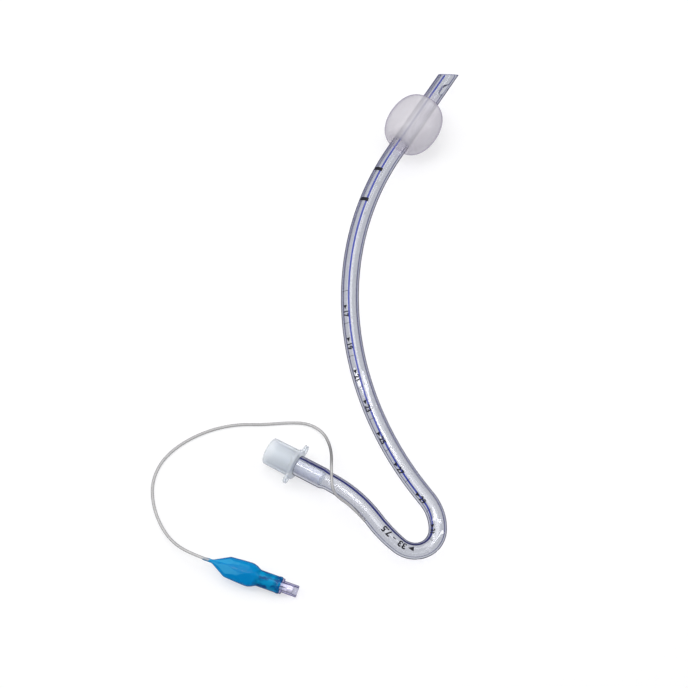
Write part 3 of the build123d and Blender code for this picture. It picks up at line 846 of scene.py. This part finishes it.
def facet_mask(tree):
    """1 on the balloon's pressed facets, told by their normals: there a painted highlight stands for the
    bright room that they mirror.
    """
    shape = add(tree, "ShaderNodeNewGeometry")
    total = None
    for _, normal in CREASES[:2]:
        outward = (in_frame(PILOT, *normal) - Vector(PILOT[0])).normalized()
        facing = add(tree, "ShaderNodeVectorMath", {0: shape.outputs["Normal"], 1: outward},
                     operation="DOT_PRODUCT")
        flat = add(tree, "ShaderNodeMapRange",
                   {"Value": facing.outputs["Value"], "From Min": 0.965, "From Max": 0.995},
                   interpolation_type="SMOOTHSTEP").outputs[0]
        total = flat if total is None else figure(tree, "MAXIMUM", total, flat)
    return total


def drawn_tight(tree, full, start=1.0):
    """Changes from the start value on the balloon to the full value where its sleeve grips the valve."""
    along = add(tree, "ShaderNodeAttribute", attribute_name="along")
    return add(tree, "ShaderNodeMapRange", {"Value": along.outputs["Fac"], "From Min": 29.0, "From Max": 34.0,
                                            "To Min": start, "To Max": full},
               interpolation_type="SMOOTHSTEP").outputs[0]


def streak_mask(tree, strength):
    """Dark streaks along the sleeve, painted shade of its creases. They read the attributes along and around.
    """
    along = add(tree, "ShaderNodeAttribute", attribute_name="along")
    around = add(tree, "ShaderNodeAttribute", attribute_name="around")
    stretched = figure(tree, "MULTIPLY", along.outputs["Fac"], 0.12)
    place = add(tree, "ShaderNodeCombineXYZ", {0: stretched, 1: around.outputs["Fac"]})
    noise = add(tree, "ShaderNodeTexNoise", {"Vector": place.outputs[0], "Scale": 1.6, "Detail": 2.0})
    sharp = add(tree, "ShaderNodeMapRange",
                {"Value": noise.outputs["Fac"], "From Min": 0.42, "From Max": 0.62})
    return figure(tree, "MULTIPLY", drawn_tight(tree, strength, 0.0), sharp.outputs[0])


def blend(tree, share, first, second):
    """Mixes two shaders: all of the first where the share is 0."""
    return add(tree, "ShaderNodeMixShader", {0: share, 1: first.outputs[0], 2: second.outputs[0]})


def clear_plastic(name, colour, edge, rim, absorbed, density, ior, shadow):
    """Clear solid plastic with a dark outline, painted shade, where it is seen edge on. Its shadow is let
    through.
    """
    made = material(name)
    tree = made.node_tree
    grained = grain_node(tree, 160, 0.0)
    surface = add(tree, "ShaderNodeBsdfPrincipled",
                  {"Base Color": colour, "Roughness": 0.0, "IOR": ior, "Transmission Weight": 1.0,
                   "Normal": grained.outputs["Normal"]})
    through = add(tree, "ShaderNodeBsdfTransparent", {"Color": shadow})
    path = add(tree, "ShaderNodeLightPath")
    # Painted shade: a dark diffuse layer on the edges.
    outline = add(tree, "ShaderNodeBsdfDiffuse", {"Color": edge})
    edge_shade_share = 0.85
    dark = figure(tree, "MULTIPLY", edge_mask(tree, *rim), edge_shade_share)
    edged = blend(tree, dark, surface, outline)
    mixed = blend(tree, path.outputs["Is Shadow Ray"], edged, through)
    volume = add(tree, "ShaderNodeVolumeAbsorption", {"Color": absorbed, "Density": density})
    add(tree, "ShaderNodeOutputMaterial", {"Surface": mixed.outputs[0], "Volume": volume.outputs[0]})
    return made


def mix_colour(tree, factor, first, second):
    node = add(tree, "ShaderNodeMix", data_type="RGBA")
    for key, value in (("Factor", factor), ("A", first), ("B", second)):
        socket = [s for s in node.inputs if s.name == key and s.enabled][0]
        if isinstance(value, bpy.types.NodeSocket):
            tree.links.new(value, socket)
        else:
            socket.default_value = value
    return [s for s in node.outputs if s.enabled][0]


def film(name, colour, edge, see_through, faint, clear, roughness, bump, scale, sheen=0.5, rim=(0.3, 0.95),
         cover=None, streaks=None, facets=None):
    """Thin film, seen through in a colour: by the clear share straight on and the faint share edge on.

    The cover is an attribute, and where it is 0 the film is almost clear.
    """
    made = material(name)
    tree = made.node_tree
    grained = grain_node(tree, scale, bump)
    mask = edge_mask(tree, *rim)
    # Seen edge on, the film turns to its edge colour: painted shade.
    tint = mix_colour(tree, mask, colour, edge)
    # The facet colour is a painted highlight on the pressed facets.
    if facets:
        tint = mix_colour(tree, facet_mask(tree), tint, facets)
    # The streaks are painted shade of the sleeve's creases, in the edge colour.
    if streaks:
        tint = mix_colour(tree, streak_mask(tree, streaks), tint, edge)
    surface = add(tree, "ShaderNodeBsdfPrincipled",
                  {"Base Color": tint, "Roughness": roughness, "IOR": 1.5, "Specular IOR Level": sheen,
                   "Normal": grained.outputs["Normal"]})
    through = add(tree, "ShaderNodeBsdfTransparent", {"Color": see_through})
    amount = add(tree, "ShaderNodeMapRange", {"Value": mask, "To Min": clear, "To Max": faint})
    if streaks:
        amount = add(tree, "ShaderNodeMath", {0: amount.outputs[0], 1: drawn_tight(tree, 0.45)},
                     operation="MULTIPLY")
    if cover:
        where = add(tree, "ShaderNodeAttribute", attribute_name=cover)
        amount = add(tree, "ShaderNodeMapRange", {"Value": where.outputs["Fac"], "To Min": 0.92,
                                                  "To Max": amount.outputs[0]})
    mixed = blend(tree, amount.outputs[0], surface, through)
    add(tree, "ShaderNodeOutputMaterial", {"Surface": mixed.outputs[0]})
    return made


def opaque(name, colour, roughness, bump, scale, metallic=0.0, edge=None):
    made = material(name)
    tree = made.node_tree
    grained = grain_node(tree, scale, bump)
    darker = tuple(0.8 * c for c in colour[:3]) + (1,)
    tint = mix_colour(tree, grained.outputs["Mask"], darker, colour)
    # An edge colour, where given, is painted shade where the surface is seen edge on.
    if edge:
        tint = mix_colour(tree, edge_mask(tree, 0.1, 0.45), tint, edge)
    surface = add(tree, "ShaderNodeBsdfPrincipled",
                  {"Base Color": tint, "Roughness": roughness, "Metallic": metallic,
                   "Normal": grained.outputs["Normal"]})
    add(tree, "ShaderNodeOutputMaterial", {"Surface": surface.outputs[0]})
    return made


def cut_faces(obj):
    """Gives the bevelled cut the second material."""
    origin, left, up, ahead = tube_frame(0)
    across = left * math.cos(BEVEL_FACING) + up * math.sin(BEVEL_FACING)
    for face in obj.data.polygons:
        place = face.center / MM - origin
        if place.dot(ahead) - place.dot(across) < 0.25:
            face.material_index = 1


def stem_faces(obj):
    """Gives the stem, which is inside the tube, the second material."""
    origin, _, _, ahead = tube_frame(TUBE_LENGTH)
    for face in obj.data.polygons:
        if (face.center / MM - origin).dot(ahead) < 0.3:
            face.material_index = 1


def milky(name, colour, roughness, cover):
    """Milky moulded plastic that lets soft light through. It turns dark grey where seen edge on, a painted
    shade.
    """
    made = material(name)
    tree = made.node_tree
    grained = grain_node(tree, 300, 0.15)
    mask = edge_mask(tree, 0.62, 0.9)
    # Painted shade: dark grey where the surface is seen edge on.
    tint = mix_colour(tree, mask, colour, (0.2, 0.22, 0.25, 1))
    surface = add(tree, "ShaderNodeBsdfPrincipled",
                  {"Base Color": tint, "Roughness": roughness, "IOR": 1.49,
                   "Subsurface Weight": 1.0, "Subsurface Radius": (1.0, 1.0, 1.1), "Subsurface Scale": 0.0015,
                   "Normal": grained.outputs["Normal"]})
    through = add(tree, "ShaderNodeBsdfTransparent", {"Color": (0.93, 0.95, 0.98, 1)})
    amount = add(tree, "ShaderNodeMapRange", {"Value": mask, "To Min": 1 - cover, "To Max": 0.2})
    mixed = blend(tree, amount.outputs[0], surface, through)
    add(tree, "ShaderNodeOutputMaterial", {"Surface": mixed.outputs[0]})
    return made


pvc = clear_plastic("clear_pvc", (0.99, 0.99, 1, 1), edge=(0.008, 0.008, 0.06, 1), rim=(0.54, 0.7),
                    absorbed=(0.45, 0.44, 0.62, 1), density=45, ior=1.5, shadow=(0.95, 0.95, 0.97, 1))
port = clear_plastic("clear_housing", (0.97, 0.96, 1, 1), edge=(0.05, 0.03, 0.2, 1), rim=(0.45, 0.75),
                     absorbed=(0.45, 0.38, 0.72, 1), density=120, ior=1.22, shadow=(0.92, 0.92, 0.96, 1))
blue = opaque("blue_line", (0.03, 0.05, 0.4, 1), 0.4, 0.05, 300, edge=(0.004, 0.004, 0.05, 1))
ink = opaque("black_ink", (0.004, 0.004, 0.012, 1), 0.8, 0.1, 900)
frosted = film("frosted_film", (0.7, 0.685, 0.7, 1), (0.3, 0.25, 0.36, 1), (0.95, 0.93, 0.97, 1),
               0.15, 0.42, 0.27, 0.2, 300, rim=(0.55, 1.0), cover="frost")
blue_film = film("blue_film", (0.0, 0.33, 0.63, 1), (0.0, 0.04, 0.22, 1), (0.0, 0.52, 0.86, 1),
                 0.15, 0.5, 0.12, 0.08, 260, sheen=0.2, rim=(0.4, 0.85), streaks=0.85,
                 facets=(0.06, 0.5, 0.76, 1))
milk = milky("milky_plastic", (0.76, 0.785, 0.79, 1), 0.22, 0.36)
# The stem's plastic is a darker copy of the connector's: painted shade where the tube covers it.
stem_milk = milky("milky_stem", (0.72, 0.73, 0.76, 1), 0.75, 0.3)
# Painted shade: the bevelled cut of the clear tube is drawn as a dark lavender film with navy edges.
cut = film("cut_edge", (0.3, 0.31, 0.55, 1), (0.02, 0.02, 0.2, 1), (0.5, 0.5, 0.8, 1),
           0.1, 0.35, 0.2, 0.0, 300)
line_plastic = film("line_plastic", (0.62, 0.61, 0.6, 1), (0.08, 0.08, 0.08, 1), (0.9, 0.9, 0.9, 1),
                    0.0, 0.4, 0.2, 0.1, 500, rim=(0.15, 0.75))
white = opaque("white_plastic", (0.9, 0.9, 0.9, 1), 0.35, 0.1, 500)
rubber = opaque("black_rubber", (0.01, 0.01, 0.012, 1), 0.5, 0.2, 700)
steel = opaque("spring_steel", (0.6, 0.6, 0.63, 1), 0.25, 0.05, 700, 1.0)


def dress(made, finish, body, *nodes):
    made.data.materials.clear()
    made.data.materials.append(finish)
    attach(made, body)
    if nodes:
        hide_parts(*nodes)
    return made


airway = dress(airway_tube(), pvc, "airway", "airway_tube")
airway.data.materials.append(cut)
cut_faces(airway)
dress(blue_line(), blue, "airway", "radiopaque_line")
dress(paint(open_ends(cuff()), "frost", frost), frosted, "airway", "cuff")
fitting = dress(connector(), milk, "airway", "connector")
fitting.data.materials.append(stem_milk)
stem_faces(fitting)
thin = dress(inflation_line(), line_plastic, "airway", "inflation_line")
pilot = dress(paint(paint(pilot_film(), "along", along_pilot), "around", around_pilot), blue_film,
              "airway", "pilot_balloon")
housing = dress(valve_housing(), port, "airway", "valve_body")
coil = dress(spring(), steel, "airway", "valve_spring")
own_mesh(coil)
stem = dress(poppet(), white, "poppet", "valve_poppet")
gasket = dress(seal(), rubber, "poppet", "valve_seal")
dress(depth_marks(), ink, "airway")
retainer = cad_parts["valve_retainer"]
retainer.data.materials.clear()
retainer.data.materials.append(white)


# Floor, light and camera

def stage_floor():
    """White floor. Rays bent by clear plastic see it as a grey glow with a dark band that draws the tube's
    edges: painted shade and painted reflection in the clear parts.
    """
    mesh = bpy.data.meshes.new("floor")
    half = 3.0
    corners = [(-half, -half, 0), (half, -half, 0), (half, half, 0), (-half, half, 0)]
    mesh.from_pydata(corners, [], [(0, 1, 2, 3)])
    made = bpy.data.objects.new("floor", mesh)
    scene.collection.objects.link(made)
    finish = material("floor_white")
    tree = finish.node_tree
    path = add(tree, "ShaderNodeLightPath")
    plain = add(tree, "ShaderNodeBsdfDiffuse", {"Color": (0.92, 0.92, 0.92, 1)})
    glow = add(tree, "ShaderNodeEmission", {"Color": (1, 1, 1, 1), "Strength": 1.04})
    lit = blend(tree, figure(tree, "MULTIPLY", path.outputs["Is Camera Ray"], 0.55), plain, glow)
    # Painted shade: a dark band in the glow that bent rays see.
    band = figure(tree, "MULTIPLY", edge_mask(tree, 0.18, 0.45), edge_mask(tree, 0.78, 0.6))
    through = add(tree, "ShaderNodeEmission",
                  {"Color": mix_colour(tree, band, (0.58, 0.6, 0.64, 1), (0.13, 0.13, 0.28, 1))})
    bent = figure(tree, "MAXIMUM", path.outputs["Is Transmission Ray"], path.outputs["Is Glossy Ray"])
    surface = blend(tree, bent, lit, through)
    add(tree, "ShaderNodeOutputMaterial", {"Surface": surface.outputs[0]})
    finish.cycles.emission_sampling = "NONE"
    mesh.materials.append(finish)


def soft_light(name, place, aim, size, power):
    light = bpy.data.lights.new(name, "AREA")
    light.shape = "RECTANGLE"
    light.size, light.size_y = size
    light.energy = power
    made = bpy.data.objects.new(name, light)
    scene.collection.objects.link(made)
    made.location = place
    made.rotation_euler = (Vector(aim) - Vector(place)).to_track_quat("-Z", "Y").to_euler()


def world_light():
    world = bpy.data.worlds.new("soft_world")
    scene.world = world
    world.use_nodes = True
    tree = world.node_tree
    tree.nodes.clear()
    path = add(tree, "ShaderNodeLightPath")
    place = add(tree, "ShaderNodeTexCoord")
    height = add(tree, "ShaderNodeSeparateXYZ", {0: place.outputs["Generated"]})
    rise = add(tree, "ShaderNodeMapRange", {"Value": height.outputs["Z"], "From Min": 0.1, "From Max": 0.7})
    room = mix_colour(tree, rise.outputs[0], (0.05, 0.05, 0.09, 1), (0.42, 0.42, 0.44, 1))
    seen = mix_colour(tree, path.outputs["Is Camera Ray"], room, (1, 1, 1, 1))
    glow = add(tree, "ShaderNodeBackground", {"Color": seen, "Strength": 1.0})
    add(tree, "ShaderNodeOutputWorld", {"Surface": glow.outputs[0]})


stage_floor()
world_light()
soft_light("top", (-0.3, 0.5, 1.9), (0, 0, 0), (2.2, 1.8), 24)
soft_light("left_strip", (-0.75, 0.0, 0.85), (0, 0, 0), (0.12, 1.8), 5)
soft_light("right_strip", (1.0, 0.0, 0.45), (0, 0, 0), (0.12, 1.8), 4)

camera = bpy.data.objects.new("camera", bpy.data.cameras.new("camera"))
scene.collection.objects.link(camera)
camera.location = (-0.011888, -0.51048, 1.07375)
camera.rotation_euler = (math.radians(24.5), 0, 0)
camera.data.sensor_width = 36
camera.data.lens = 107.74
scene.camera = camera
scene.view_settings.view_transform = "Standard"
